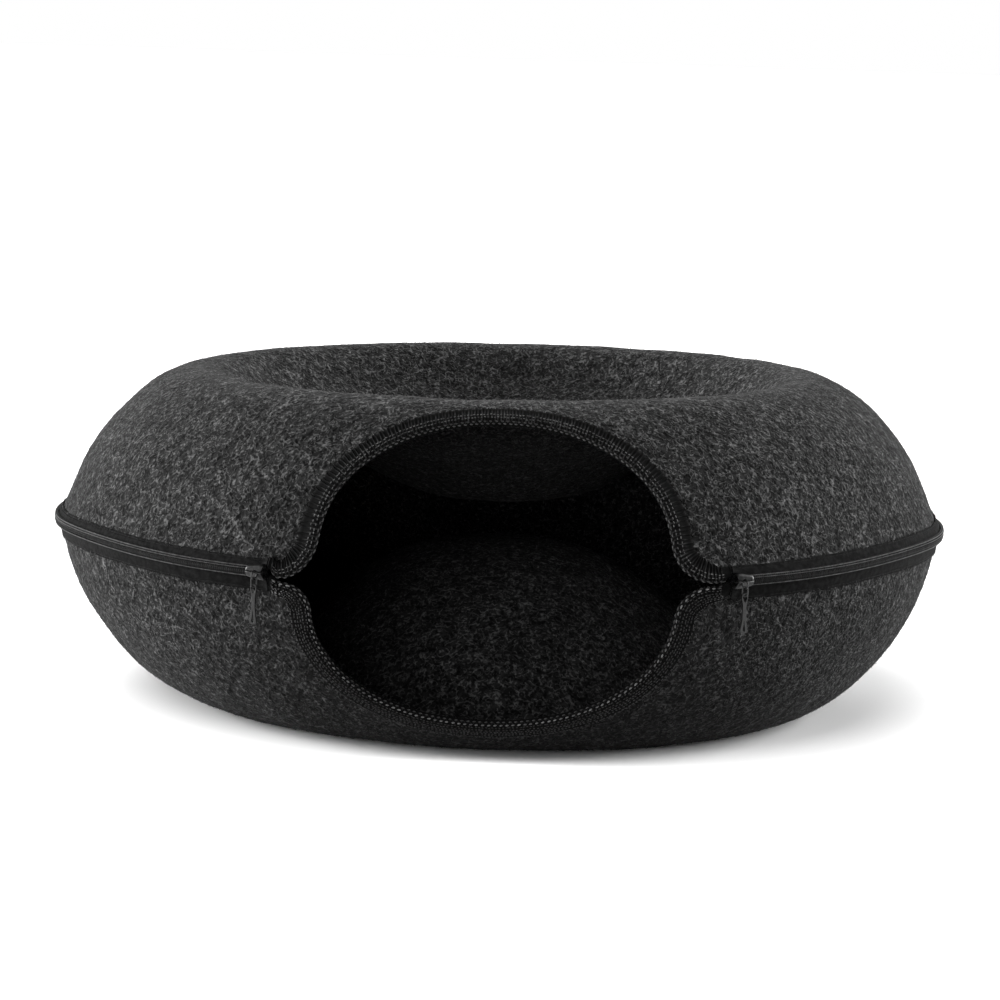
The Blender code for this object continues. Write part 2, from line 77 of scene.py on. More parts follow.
COIL_ENDS_BEFORE = math.radians(0.60)
CORNER_DROOPS = {"left": 0.0040, "right": 0.0020}
CORNER_DROOP_STARTS = math.radians(1.10)
CORNER_DROOP_LENGTH = math.radians(1.50)
CORNER_DROOP_REACH = 0.040
EDGING_OVERLAP = 0.0090
EDGING_END_OVERLAP = 0.0040
EDGING_INSIDE = 0.0060
EDGING_LIP = 0.0016
EDGING_THICKNESS = 0.0008
EDGING_TAPER = 0.0200
EDGING_FROM_LINE = 0.0003
EDGING_SLACK = 0.0002
TAPE_OVERLAPS = {"top": 0.0034, "bottom": 0.0066}
TAPE_SKEWS = {"top": 0.0008, "bottom": 0.0}
TAPE_THICKNESS = 0.0008
TAPE_FROM_LINE = 0.00008
TAPE_BULGE = 0.0006
COIL_BASE_OUT = 2 * GAP + TAPE_BULGE + TAPE_THICKNESS
DOOR_FAN = math.radians(52)
COLLAR = 0.1180
SIGN = {"top": 1.0, "bottom": -1.0}

# ---- how finely things are made
LIP_COLUMNS, CORNER_COLUMNS, ARCH_COLUMNS = 10, 20, 110
ZIP_COLUMNS = 170
BAND_DEPTHS = (0.0, 0.0015, 0.0030, 0.0050, 0.0070, 0.0090)
COLLAR_STEPS = 22
DISH_STEPS = {"top": 52, "bottom": 58}
TAPE_COLUMNS = 330


# ---- the felt's surface
def natural_spline(knots, values):
    """Natural cubic spline through the values, as a function of one number."""
    knots, values = np.array(knots), np.array(values)
    steps = np.diff(knots)
    slopes = (np.diff(values, axis=0).T / steps).T
    count = len(knots)
    system, right = np.eye(count), np.zeros(values.shape)
    for i in range(1, count - 1):
        system[i, i - 1 : i + 2] = steps[i - 1], 2 * (steps[i - 1] + steps[i]), steps[i]
        right[i] = 6 * (slopes[i] - slopes[i - 1])
    bends = np.linalg.solve(system, right.reshape(count, -1)).reshape(values.shape)

    def value_at(t):
        i = np.clip(np.searchsorted(knots, t) - 1, 0, count - 2)
        a, b, step = knots[i + 1] - t, t - knots[i], steps[i]
        cubic = (bends[i] * a**3 + bends[i + 1] * b**3) / (6 * step)
        first = (values[i] / step - bends[i] * step / 6) * a
        return cubic + first + (values[i + 1] / step - bends[i + 1] * step / 6) * b

    return value_at


def unit(vectors):
    return vectors / np.maximum(np.linalg.norm(vectors, axis=-1, keepdims=True), 1e-12)


def distances(points):
    """Distance along the points from the first one, or the mean of that over many rows of points."""
    steps = np.linalg.norm(np.diff(points, axis=-2), axis=-1)
    return np.concatenate([[0.0], np.cumsum(steps if steps.ndim == 1 else steps.mean(axis=0))])


def smooth(values):
    share = np.clip(values, 0, 1)
    return share * share * (3 - 2 * share)


def waist_rise(azimuth):
    from_shoulder = (np.abs(azimuth) - SHOULDER_AZIMUTH) / SHOULDER_SPREAD
    return LEAN * np.sin(azimuth) + SHOULDER_RISE * np.exp(-(from_shoulder**2))


def corner_droop(azimuth):
    left = azimuth < 0
    slider = np.where(left, abs(SLIDER_AZIMUTHS["left"]), SLIDER_AZIMUTHS["right"])
    droop = np.where(left, CORNER_DROOPS["left"], CORNER_DROOPS["right"])
    return droop * smooth((slider - CORNER_DROOP_STARTS - np.abs(azimuth)) / CORNER_DROOP_LENGTH)


def wrapped(azimuth):
    return (azimuth + math.pi) % math.tau - math.pi


class Half:
    """One felt half's outer face, as points and normals at (azimuth, along)."""

    def __init__(self, name):
        rows = PROFILES[name]
        whole = list(rows) + [(-radius, height) for radius, height in reversed(rows[:-1])]
        chords = [math.dist(a, b) for a, b in zip(whole, whole[1:])]
        knots = np.concatenate([[0.0], np.cumsum(chords)])
        self.name = name
        self.length = float(knots[len(rows) - 1])
        self.radius = natural_spline(knots, [row[0] for row in whole])
        self.height = natural_spline(knots, [row[1] for row in whole])

    def points(self, azimuth, along):
        azimuth, along = np.broadcast_arrays(azimuth, along)
        turned = wrapped(azimuth)
        radius = self.radius(along)
        height = np.minimum(self.height(along), ZIP_HEIGHT)
        share = np.maximum(1 - along / UNEVEN_REACH[self.name], 0)
        droop = corner_droop(turned) * np.maximum(1 - along / CORNER_DROOP_REACH, 0)
        if self.name == "top":
            lean = LEAN * np.sin(turned)
            z = ZIP_HEIGHT + height + lean * radius / RIM_RADIUS - droop
            z = z + (waist_rise(turned) - lean) * share
            sway = 0.0
        else:
            z = ZIP_HEIGHT - height + waist_rise(turned) * share - droop
            sway = BASE_SWAY * (1 - share)
        return np.stack([radius * np.sin(turned) + sway, AXIS_Y - radius * np.cos(turned), z], axis=-1)

    def normals(self, azimuth, along):
        small = 0.0005
        around = self.points(azimuth + small, along) - self.points(azimuth - small, along)
        inward = self.points(azimuth, along + small) - self.points(azimuth, along - small)
        return unit(np.cross(around, inward)) * SIGN[self.name]


HALVES = {name: Half(name) for name in PROFILES}


# ---- the felt's cut edge
def ends(before):
    return SLIDER_AZIMUTHS["left"] + before, SLIDER_AZIMUTHS["right"] - before


def door_edge(half):
    """The doorway's cut edge: azimuths, distances up the felt, and unit directions into the felt."""
    side, top, power, radius, shift, skew = DOORS[half]

    def half_outline(zip_end):
        lip_x = np.linspace(zip_end, side + radius, LIP_COLUMNS + 1)[:-1]
        a = np.linspace(0, math.pi / 2, CORNER_COLUMNS + 1)[:-1]
        b = np.linspace(0, math.pi / 2, ARCH_COLUMNS // 2 + 1)
        x = np.concatenate([lip_x, side + radius * (1 - np.sin(a)), side * np.cos(b) ** (2 / power)])
        up = radius + (top - radius) * np.sin(b) ** (2 / power)
        return np.stack([x, np.concatenate([lip_x * 0, radius * (1 - np.cos(a)), up])], axis=1)

    left_end, right_end = (azimuth * RIM_RADIUS for azimuth in ends(TAPE_ENDS_BEFORE))
    points = np.concatenate([half_outline(-left_end) * (-1, 1), half_outline(right_end)[-2::-1]])
    places = np.linspace(0, 1, len(points))
    ramp = np.minimum(1, np.minimum(places, 1 - places) / DOOR_SHIFT_RAMP)
    points[:, 0] += shift * ramp + skew * points[:, 1] / top
    run = unit(np.gradient(points, axis=0))
    directions = np.stack([-run[:, 1], run[:, 0]], axis=1)
    directions[[0, -1]] = (0.0, 1.0)
    return points[:, 0] / RIM_RADIUS, points[:, 1], directions


def zip_azimuths(before, count):
    left, right = ends(before)
    return np.linspace(right, math.tau + left, count)


def tape_overlap(half, azimuth):
    return TAPE_OVERLAPS[half] + TAPE_SKEWS[half] * np.sin(azimuth)


def zip_frames(half, azimuth):
    """At the rim: its edge's points, and the directions away from the zip line, out, and round the rim."""
    edge = HALVES[half].points(azimuth, 0.0)
    out = np.stack([np.sin(azimuth), -np.cos(azimuth), azimuth * 0], axis=-1)
    run = np.stack([np.cos(azimuth), np.sin(azimuth), azimuth * 0], axis=-1)
    return edge, np.array([0.0, 0.0, SIGN[half]]), out, run


# ---- meshes
def link(obj):
    bpy.context.scene.collection.objects.link(obj)
    return obj


def dress(obj, replaces=()):
    """Adds a piece of the part's look, perhaps instead of solids."""
    link(obj)
    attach(obj, "root")
    if replaces:
        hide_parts(*replaces)
    return obj


class Pile:
    """Points and faces that become one object."""

    def __init__(self):
        self.points, self.faces, self.values, self.count = [], [], {}, 0

    def add(self, points, faces, flip=False, **values):
        points = np.asarray(points).reshape(-1, 3)
        self.points.append(points)
        order = -1 if flip else 1
        self.faces += [np.asarray(f).reshape(-1, np.shape(f)[-1])[:, ::order] + self.count for f in faces]
        for key, value in values.items():
            self.values.setdefault(key, []).append(np.broadcast_to(value, len(points)))
        self.count += len(points)

    def make(self, name, material, slot, replaces=(), sharp=None):
        mesh = bpy.data.meshes.new(name)
        points = np.concatenate(self.points)
        corners = np.concatenate([f.ravel() for f in self.faces])
        sizes = np.concatenate([np.full(len(f), f.shape[1]) for f in self.faces])
        mesh.vertices.add(len(points))
        mesh.vertices.foreach_set("co", points.astype(np.float32).ravel())
        mesh.loops.add(len(corners))
        mesh.loops.foreach_set("vertex_index", corners.astype(np.int32))
        mesh.polygons.add(len(sizes))
        mesh.polygons.foreach_set("loop_start", np.concatenate([[0], np.cumsum(sizes)[:-1]]).astype(np.int32))
        mesh.update(calc_edges=True)
        for key, value in self.values.items():
            layer = mesh.attributes.new(key, "FLOAT", "POINT")
            layer.data.foreach_set("value", np.concatenate(value).astype(np.float32))
        mesh.shade_smooth()
        if sharp is not None:
            mesh.set_sharp_from_angle(angle=sharp)
        mesh.materials.append(material)
        return dress(bpy.data.objects.new(name, mesh), replaces)


def grid_faces(rows, columns, wrap_rows=False, wrap_columns=False):
    """Quads of a grid whose point (i, j) is number i * columns + j."""
    i = np.arange(rows if wrap_rows else rows - 1)[:, None]
    j = np.arange(columns if wrap_columns else columns - 1)[None, :]
    i2, j2 = (i + 1) % rows, (j + 1) % columns
    return np.stack([i * columns + j, i2 * columns + j, i2 * columns + j2, i * columns + j2], axis=-1)


def loft_closed(pile, sections, flip, **values):
    """A skin over closed sections (stations, points, 3), with flat ends."""
    stations, count = sections.shape[:2]
    skin = grid_faces(stations, count, wrap_columns=True)
    ring = np.arange(count)
    pile.add(sections, [skin, ring[None, ::-1], ring[None] + (stations - 1) * count], flip, **values)


def tubes(pile, paths, ups, radius, sides, closed=False, flat=1.0, tone=None):
    """Adds round threads: paths (many, stations, 3), with an up direction and a tone at each station."""
    many, stations, _ = paths.shape
    if closed:
        tangent = unit(np.roll(paths, -1, axis=1) - np.roll(paths, 1, axis=1))
    else:
        tangent = unit(np.gradient(paths, axis=1))
    side = unit(np.cross(tangent, np.broadcast_to(ups, paths.shape)))
    up = np.cross(side, tangent)
    angles = math.tau * np.arange(sides) / sides
    across = side[:, :, None] * np.cos(angles)[:, None] + up[:, :, None] * np.sin(angles)[:, None] * flat
    radius = np.broadcast_to(radius, (many, stations))[:, :, None, None]
    points = paths[:, :, None] + across * radius
    starts = np.arange(many)[:, None, None, None] * stations * sides
    skin = grid_faces(stations, sides, wrap_rows=closed, wrap_columns=True)[None] + starts
    faces = [skin[..., ::-1]]
    if not closed:
        ring = np.arange(sides)
        first = np.arange(many)[:, None] * stations * sides + ring
        faces += [first, first[:, ::-1] + (stations - 1) * sides]
    if tone is None:
        pile.add(points, faces)
    else:
        pile.add(points, faces, tone=np.repeat(np.broadcast_to(tone, (many, stations)).ravel(), sides))


# ---- materials
FELT_DARK, FELT_LIGHT = 0.023, 0.110
FELT_WARP = 0.0024  # how far the pattern is bent, and over what distance
FELT_CURLS = (  # shift, cell size, width as a share of the noise, strength
    (0.00, 0.0028, 0.072, 0.75),
    (0.31, 0.0040, 0.062, 1.00),
    (0.67, 0.0058, 0.046, 0.90),
)


class Graph:
    """The nodes of a material or world, written as expressions."""

    def __init__(self, name, kind="materials", shader="Principled BSDF"):
        self.owner = getattr(bpy.data, kind).new(name)
        self.owner.use_nodes = True
        self.tree = self.owner.node_tree
        self.shader = self.tree.nodes[shader]

    def put(self, socket, value):
        if isinstance(value, bpy.types.NodeSocket):
            self.tree.links.new(value, socket)
        else:
            socket.default_value = value

    def add(self, kind, inputs=None, **settings):
        node = self.tree.nodes.new("ShaderNode" + kind)
        for key, value in settings.items():
            setattr(node, key, value)
        for key, value in (inputs or {}).items():
            self.put(node.inputs[key], value)
        return node

    def math(self, operation, *values, kind="Math"):
        node = self.add(kind, operation=operation)
        for socket, value in zip(node.inputs, values):
            self.put(socket, value)
        return node.outputs[0]

    def vector(self, operation, *values):
        return self.math(operation, *values, kind="VectorMath")

    def ramp(self, value, low, high, to_low=0.0, to_high=1.0):
        node = self.add("MapRange", interpolation_type="SMOOTHSTEP")
        for key, number in (("From Min", low), ("From Max", high), ("To Min", to_low), ("To Max", to_high)):
            node.inputs[key].default_value = number
        self.put(node.inputs["Value"], value)
        return node.outputs["Result"]

    def noise(self, position, size, detail=2.0, output=0):
        return self.add("TexNoise", {"Vector": position, "Scale": 1 / size, "Detail": detail}).outputs[output]

    def grey(self, value):
        node = self.add("CombineColor")
        for socket in node.inputs[:3]:
            self.put(socket, value)
        return node.outputs[0]

    def attribute(self, name):
        return self.add("Attribute", attribute_name=name).outputs["Fac"]

    def bump(self, height, distance, strength=1.0):
        node = self.add("Bump", {"Height": height, "Distance": distance, "Strength": strength})
        self.put(self.shader.inputs["Normal"], node.outputs["Normal"])

    def set(self, **values):
        for key, value in values.items():
            self.put(self.shader.inputs[key.replace("_", " ")], value)
        return self.owner


def felt_material(name):
    """Charcoal needle felt: a dark, mottled, pitted mass under short pale curled fibres, with painted shade
    darkening its pits.
    """
    g = Graph(name)
    position = g.add("TexCoord").outputs["Object"]
    warp = g.vector("SUBTRACT", g.noise(position, FELT_WARP, 1.0, "Color"), (0.5, 0.5, 0.5))
    curled = g.vector("ADD", position, g.vector("MULTIPLY", warp, (FELT_WARP,) * 3))
    curls = None
    for shift, size, width, strength in FELT_CURLS:
        moved = g.vector("ADD", curled, (shift, shift * 0.7, shift * 0.4))
        level = g.math("ABSOLUTE", g.math("SUBTRACT", g.noise(moved, size, 0.0), 0.5))
        line = g.ramp(level, width * 0.25, width, 1.0, 0.0)
        broken = g.ramp(g.noise(g.vector("ADD", position, (0.0, shift, 0.5)), 0.0020, 0.0), 0.44, 0.62)
        layer = g.math("MULTIPLY", g.math("MULTIPLY", line, broken), strength)
        curls = layer if curls is None else g.math("MAXIMUM", curls, layer)
    patches = g.ramp(g.noise(position, 0.0054, 2.0), 0.30, 0.70, 0.50, 1.50)
    # painted shade: the pits darken the dark mass's colour where they also sink the bump
    pits_and_shade = g.ramp(g.noise(position, 0.0021, 1.0), 0.30, 0.56, 0.30, 1.10)
    broad = g.ramp(g.noise(position, 0.030, 2.0), 0.3, 0.7, 0.90, 1.10)
    under = g.math("MULTIPLY", g.math("MULTIPLY", pits_and_shade, FELT_DARK), patches)
    over = g.math("MULTIPLY", g.math("MULTIPLY", curls, FELT_LIGHT), g.ramp(patches, 0.5, 1.5, 0.6, 1.25))
    height = g.math("ADD", g.math("MULTIPLY", curls, 0.5), g.math("MULTIPLY", pits_and_shade, 0.6))
    g.bump(g.math("ADD", height, g.math("MULTIPLY", patches, 0.9)), 0.00070, 0.9)
    colour = g.grey(g.math("MULTIPLY", g.math("ADD", under, over), broad))
    g.set(Base_Color=colour, Roughness=0.95, Specular_IOR_Level=0.06)
    return g.set(Sheen_Weight=0.02, Sheen_Roughness=0.5)


def fibre_material(name):
    g = Graph(name)
    tone = g.attribute("tone")
    return g.set(Base_Color=g.grey(tone), Roughness=0.8, Specular_IOR_Level=0.3)


def thread_material(name, low, high, roughness, specular):
    """Fuzzy polyester thread or dark tape, which the attribute "tone" lightens from low towards high; on the
    edging's loops, knots and specks and the coil's cords that tone is painted highlight and shade.
    """
    g = Graph(name)
    position = g.add("TexCoord").outputs["Object"]
    fuzz = g.noise(position, 0.00045, 2.0)
    colour = g.math("ADD", low, g.math("MULTIPLY", g.math("MULTIPLY", g.attribute("tone"), high), fuzz))
    g.bump(fuzz, 0.00012, 0.7)
    return g.set(Base_Color=g.grey(colour), Roughness=roughness, Specular_IOR_Level=specular)


WARP_PITCH, WEFT_PITCH = 0.00062, 0.00075
HERRINGBONE_RATE, HERRINGBONE_DEPTH = 900.0, 0.0006


def tape_material(name):
    """Black woven tape: fine herringbone from its own flat coordinates, in metres."""
    g = Graph(name)
    run, across = g.attribute("run"), g.attribute("across")
    warp = g.math("SINE", g.math("MULTIPLY", across, math.tau / WARP_PITCH))
    ribs = g.math("ABSOLUTE", g.math("SINE", g.math("MULTIPLY", across, HERRINGBONE_RATE)))
    slant = g.math("ADD", run, g.math("MULTIPLY", ribs, HERRINGBONE_DEPTH))
    weft = g.math("SINE", g.math("MULTIPLY", slant, math.tau / WEFT_PITCH))
    weave = g.math("MULTIPLY_ADD", g.math("MULTIPLY", warp, weft), 0.5, 0.5)
    position = g.add("TexCoord").outputs["Object"]
    dust = g.noise(position, 0.0026, 3.0)
    mottle = g.ramp(dust, 0.30, 0.72, 0.45, 1.9)
    colour = g.math("MULTIPLY", g.ramp(weave, 0.0, 1.0, 0.004, 0.012), mottle)
    g.bump(g.math("ADD", weave, g.math("MULTIPLY", dust, 1.5)), 0.00012, 0.7)
    return g.set(Base_Color=g.grey(colour), Roughness=0.9, Specular_IOR_Level=0.05)


METAL_BASE, METAL_ROUGHNESS = 0.030, 0.34


def metal_material(name):
    g = Graph(name)
    position = g.add("TexCoord").outputs["Object"]
    rub = g.noise(position, 0.0016, 3.0)
    g.bump(g.noise(position, 0.0005, 2.0), 0.00003, 0.4)
    tint = g.math("MULTIPLY", g.ramp(rub, 0.3, 0.7, 0.85, 1.15), METAL_BASE)
    worn = g.ramp(rub, 0.25, 0.75, METAL_ROUGHNESS - 0.06, METAL_ROUGHNESS + 0.10)
    return g.set(Base_Color=g.grey(tint), Metallic=0.9, Roughness=worn)


# ---- felt
FAR = 0.1  # stands for any distance past the collar
LUMPS = ((0.030, 3.1, 0.0007), (0.009, 7.7, 0.00022))  # size, seed, height
LUMPS_START, LUMPS_FADE = 0.009, 0.02


def felt_grid(half):
    """Azimuth, along and distance from the edge, columns by rows, and what covers each column's edge."""
    azimuth, along, directions = door_edge(half)
    fans = np.linspace(-DOOR_FAN, DOOR_FAN, len(azimuth))
    zips = zip_azimuths(TAPE_ENDS_BEFORE, ZIP_COLUMNS + 1)[:-1]
    zip_fans = np.linspace(DOOR_FAN, math.tau - DOOR_FAN, ZIP_COLUMNS + 1)[:-1]
    azimuth, along = np.concatenate([azimuth[:-1], zips]), np.concatenate([along[:-1], zips * 0])
    directions = np.concatenate([directions[:-1], np.tile([0.0, 1.0], (len(zips), 1))])
    fans = np.concatenate([fans[:-1], zip_fans])[:, None]
    depths = np.array(BAND_DEPTHS)
    band_azimuth = azimuth[:, None] + directions[:, :1] * depths / RIM_RADIUS
    band_along = along[:, None] + directions[:, 1:] * depths
    share = np.arange(1, COLLAR_STEPS) / COLLAR_STEPS
    start_azimuth, start_along = band_azimuth[:, -1:], band_along[:, -1:]
    collar_azimuth = start_azimuth + (fans - start_azimuth) * (1 - (1 - share) ** 2)
    collar_along = start_along + (COLLAR - start_along) * share
    dish = np.linspace(COLLAR, HALVES[half].length, DISH_STEPS[half] + 1)[None, :-1]
    azimuths = np.concatenate([band_azimuth, collar_azimuth, fans + dish * 0], axis=1)
    alongs = np.concatenate([band_along, collar_along, dish + fans * 0], axis=1)
    in_collar = depths[-1] + collar_along - start_along
    away = np.concatenate([depths + fans * 0, in_collar, FAR + dish + fans * 0], axis=1)
    covers = np.full(len(azimuths), EDGING_OVERLAP)
    covers[-len(zips) :] = tape_overlap(half, zips)
    return azimuths, alongs, away, covers


def uneven(points, size, seed):
    """Smooth noise from -1 to 1 at each point."""
    flat = points.reshape(-1, 3) / size + seed
    return np.array([noise.noise(Vector(p)) for p in flat]).reshape(points.shape[:-1])


def make_felt(half, material, name):
    """A felt half of true thickness, its outer points and normals, and how far each is past a cover."""
    surface = HALVES[half]
    azimuth, along, away, covers = felt_grid(half)
    columns, rows = azimuth.shape
    points, normals = surface.points(azimuth, along), surface.normals(azimuth, along)
    lumps = sum(uneven(points, size, seed) * height for size, seed, height in LUMPS)
    shift = (lumps * smooth((away - LUMPS_START) / LUMPS_FADE))[..., None] * normals
    past_cover = away - covers[:, None]
    outer, inner = points + shift, points + shift - normals * FELT_THICKNESS
    outer[..., 2] = np.maximum(outer[..., 2], 0.0)
    tip = surface.points(0.0, surface.length)
    tip_inner = tip - np.array([0, 0, SIGN[half] * FELT_THICKNESS])
    count = columns * rows
    quads = grid_faces(columns, rows, wrap_rows=True).reshape(-1, 4)
    ring = np.arange(columns) * rows
    nxt = np.roll(ring, -1)
    last, last_next = ring + rows - 1, nxt + rows - 1
    outer_fan = np.stack([last, last_next, np.full(columns, 2 * count)], axis=1)
    inner_fan = np.stack([last_next + count, last + count, np.full(columns, 2 * count + 1)], axis=1)
    rim = np.stack([nxt, ring, ring + count, nxt + count], axis=1)
    faces = [quads, quads[:, ::-1] + count, outer_fan, inner_fan, rim]
    pile = Pile()
    both = np.concatenate([outer.reshape(-1, 3), inner.reshape(-1, 3), [tip, tip_inner]])
    pile.add(both, faces, half == "bottom")
    obj = pile.make(name, material, "felt", [f"felt_{half}"])
    return obj, outer, normals, past_cover


FIBRES_PER_HALF = 16000
FIBRE_LENGTHS, FIBRE_RADII = (0.0011, 0.0036), (0.00006, 0.00012)
FIBRE_TURNS, FIBRE_LIFTS = (0.3, 2.9), (0.00004, 0.00024)
FIBRES_STRAY, STRAY_LIFTS = 0.35, (0.0002, 0.0009)
FIBRE_TONES = 0.040, 0.17
FIBRES_REACH = -0.0006  # past the border of the tape or edging
FIBRES_BORDER = 0.0020
FIBRES_AT_BORDER = 2.0  # as dense there


def make_fibres(name, material, points, normals, past_cover, count):
    """Short curled fibres that lie on a grid of felt points, some over the borders of tape and edging."""
    a, b = points, np.roll(points, -1, axis=0)
    areas = np.linalg.norm(np.cross(b[:, :-1] - a[:, :-1], a[:, 1:] - a[:, :-1]), axis=-1)
    uncovered = past_cover[:, 1:] > FIBRES_REACH
    areas = areas * np.where(past_cover[:, 1:] < FIBRES_BORDER, FIBRES_AT_BORDER, 1.0) * uncovered
    chance = areas.ravel() / areas.sum()
    i, j = np.unravel_index(random.choice(len(chance), count, p=chance), areas.shape)
    s, t = random.random((2, count, 1))
    i2 = (i + 1) % len(points)

    def mixed(grid):
        near = grid[i, j] * (1 - s) + grid[i2, j] * s
        far = grid[i, j + 1] * (1 - s) + grid[i2, j + 1] * s
        return near * (1 - t) + far * t

    t = np.where(mixed(past_cover[..., None]) < FIBRES_REACH, 1.0, t)
    at, n = mixed(points), unit(mixed(normals))
    near_border = smooth((FIBRES_BORDER - mixed(past_cover[..., None])) / 0.0012)
    wild = random.normal(size=(count, 3))
    heading = unit(wild - n * np.sum(wild * n, axis=1, keepdims=True))
    sideways = np.cross(n, heading)
    length = random.uniform(*FIBRE_LENGTHS, (count, 1))
    turn = random.uniform(*FIBRE_TURNS, (count, 1)) * random.choice([-1.0, 1.0], (count, 1))
    lift = random.uniform(*FIBRE_LIFTS, (count, 1)) + near_border * (GAP + TAPE_THICKNESS)
    stray = (random.random((count, 1)) < FIBRES_STRAY) * random.uniform(*STRAY_LIFTS, (count, 1))
    radius = random.uniform(*FIBRE_RADII, (count, 1))
    stations = []
    for place in (-1.0, -0.36, 0.36, 1.0):
        angle = turn * place / 2
        line = at + (heading * np.sin(angle) + sideways * (1 - np.cos(angle))) * length / turn
        stations.append(line + n * (lift * (1.15 - place * place) + stray * (place > 0) * place))
    corners = [0.5 * math.pi + k * math.tau / 3 for k in range(3)]
    around = [radius * (math.cos(c) * sideways + math.sin(c) * n) for c in corners]
    rings = [stations[k] + side for k in (1, 2) for side in around]
    fibre = np.stack([stations[0], *rings, stations[3]], axis=1)
    faces = [(0, 1, 2), (0, 2, 3), (0, 3, 1), (7, 5, 4), (7, 6, 5), (7, 4, 6)]
    faces += [(1, 4, 5), (1, 5, 2), (2, 5, 6), (2, 6, 3), (3, 6, 4), (3, 4, 1)]
    tones = FIBRE_TONES[0] + FIBRE_TONES[1] * random.random(count) ** 2.4
    pile = Pile()
    pile.add(fibre, [np.array(faces) + np.arange(count)[:, None, None] * 8], tone=np.repeat(tones, 8))
    return pile.make(name, material, "felt")


# ---- edging
EDGING_HOLES = 0.0009  # how far outside the band its needle holes are
LOOP_PITCH = 0.0041
BEAD_PITCH = 0.0037
# The knots' tone is painted highlight and shade: the bottom's outer row, which faces up, is painted bright,
# and the other rows darker.
KNOT_ROWS = {  # share of the way over the lip, half length, radius, tone, shift along it
    "top": ((0.14, 0.00100, 0.00038, 0.22, 0.0), (0.48, 0.00105, 0.00038, 0.45, 0.5)),
    "bottom": ((0.10, 0.00110, 0.00042, 1.0, 0.0), (0.52, 0.00100, 0.00036, 0.25, 0.5)),
}
# Painted light and shade: the top's loops, on a face towards the light, are lighter than the bottom's, which
# are in shade.
LOOP_LIT_AND_SHADED_TONES = {"top": 0.70, "bottom": 0.22}
LOOP_RADIUS, WRAP_RADIUS, ZIGZAG_RADIUS = 0.00040, 0.00024, 0.00022
WRAP_PITCH = 0.00155
STRIP_THICKNESS = 0.0003
SPECK_PITCH, SPECK_HALF_LENGTH = 0.0021, 0.00055
SPECK_RADIUS, SPECK_HEIGHT = 0.00026, 0.00050
# The bottom's specks fade from left to right as painted shade, away from the light on the left; the top's are
# even.
SPECK_TONES_AND_SHADE = {"top": (0.34, 0.34), "bottom": (0.26, 0.07)}  # brightest at the left, and at the right
SPECK_ROWS = {"top": (0.68, 0.84), "bottom": (0.20, 0.34, 0.48, 0.62, 0.76, 0.90)}  # share of the outer face


class Band:
    """The edging's skin at (u, w): u in metres along the doorway, w from 0 to 1 across, outside to inside."""

    across = 25

    def __init__(self, half):
        surface = HALVES[half]
        azimuth, along, directions = door_edge(half)
        azimuth[[0, -1]] = ends(EDGING_ENDS_BEFORE)
        flat = np.stack([azimuth * RIM_RADIUS, along], axis=1)
        self.run = distances(flat)
        self.length = self.run[-1]
        share = np.minimum(1, np.minimum(self.run, self.length - self.run) / EDGING_TAPER)
        overlap = EDGING_END_OVERLAP + (EDGING_OVERLAP - EDGING_END_OVERLAP) * share

        def inside(depth):
            return azimuth + directions[:, 0] * depth / RIM_RADIUS, along + directions[:, 1] * depth

        edge, out = surface.points(azimuth, along), surface.normals(azimuth, along)
        into = unit(surface.points(*inside(0.001)) - edge)
        line = ZIP_HEIGHT + waist_rise(azimuth) - corner_droop(azimuth)

        def on_felt(depth, height):
            place = inside(depth)
            return surface.points(*place) + surface.normals(*place) * height

        def past_edge(depth, height):
            point = edge + into * depth + out * height
            from_line = np.maximum(EDGING_FROM_LINE, SIGN[half] * (point[:, 2] - line))
            point[:, 2] = line + SIGN[half] * from_line
            return point

        inner = -FELT_THICKNESS - GAP - EDGING_SLACK
        thick = EDGING_THICKNESS
        rows = [
            on_felt(overlap + EDGING_HOLES, GAP * 0.5),
            on_felt(overlap, GAP * 0.4),
            on_felt(overlap - 0.0004, GAP + thick * 0.55),
            on_felt(overlap * 0.75, GAP + thick * 0.8),
            on_felt(overlap * 0.4, GAP + thick),
            past_edge(0.0, GAP + thick),
            past_edge(-EDGING_LIP * 0.8, GAP + thick * 0.3),
            past_edge(-EDGING_LIP, -FELT_THICKNESS * 0.5),
            past_edge(-EDGING_LIP * 0.8, inner - thick * 0.3),
            past_edge(0.0, inner - thick),
            on_felt(EDGING_INSIDE * 0.6, inner - thick * 0.8),
            on_felt(EDGING_INSIDE, inner + 0.0001),
        ]
        rows = np.stack(rows, axis=1)
        steps = distances(rows)
        self.width = steps[-1]
        spread = natural_spline(steps, rows.transpose(1, 0, 2))
        self.grid = np.stack([spread(w) for w in np.linspace(0, self.width, self.across)], axis=1)
        around, over = np.gradient(self.grid, axis=0), np.gradient(self.grid, axis=1)
        self.normals = unit(np.cross(over, around)) * SIGN[half]
        self.outer_corner, self.inner_corner = steps[6] / self.width, steps[8] / self.width

    def on_lip(self, share):
        """w at a share of the way over the lip."""
        lip = self.inner_corner - self.outer_corner
        return self.outer_corner + lip * share

    def at(self, u, w, height=0.0):
        """Points at a height over the skin, and normals there."""
        u, w = np.broadcast_arrays(u, w)
        i = np.clip(np.interp(u, self.run, np.arange(len(self.run))), 0, len(self.run) - 1.001)
        j = np.clip(w, 0, 0.99999) * (self.across - 1)
        i0, j0 = i.astype(int), j.astype(int)
        s, t = (i - i0)[..., None], (j - j0)[..., None]

        def mixed(grid):
            near = grid[i0, j0] * (1 - s) + grid[i0 + 1, j0] * s
            return near * (1 - t) + (grid[i0, j0 + 1] * (1 - s) + grid[i0 + 1, j0 + 1] * s) * t

        normals = unit(mixed(self.normals))
        return mixed(self.grid) + normals * np.asarray(height)[..., None], normals


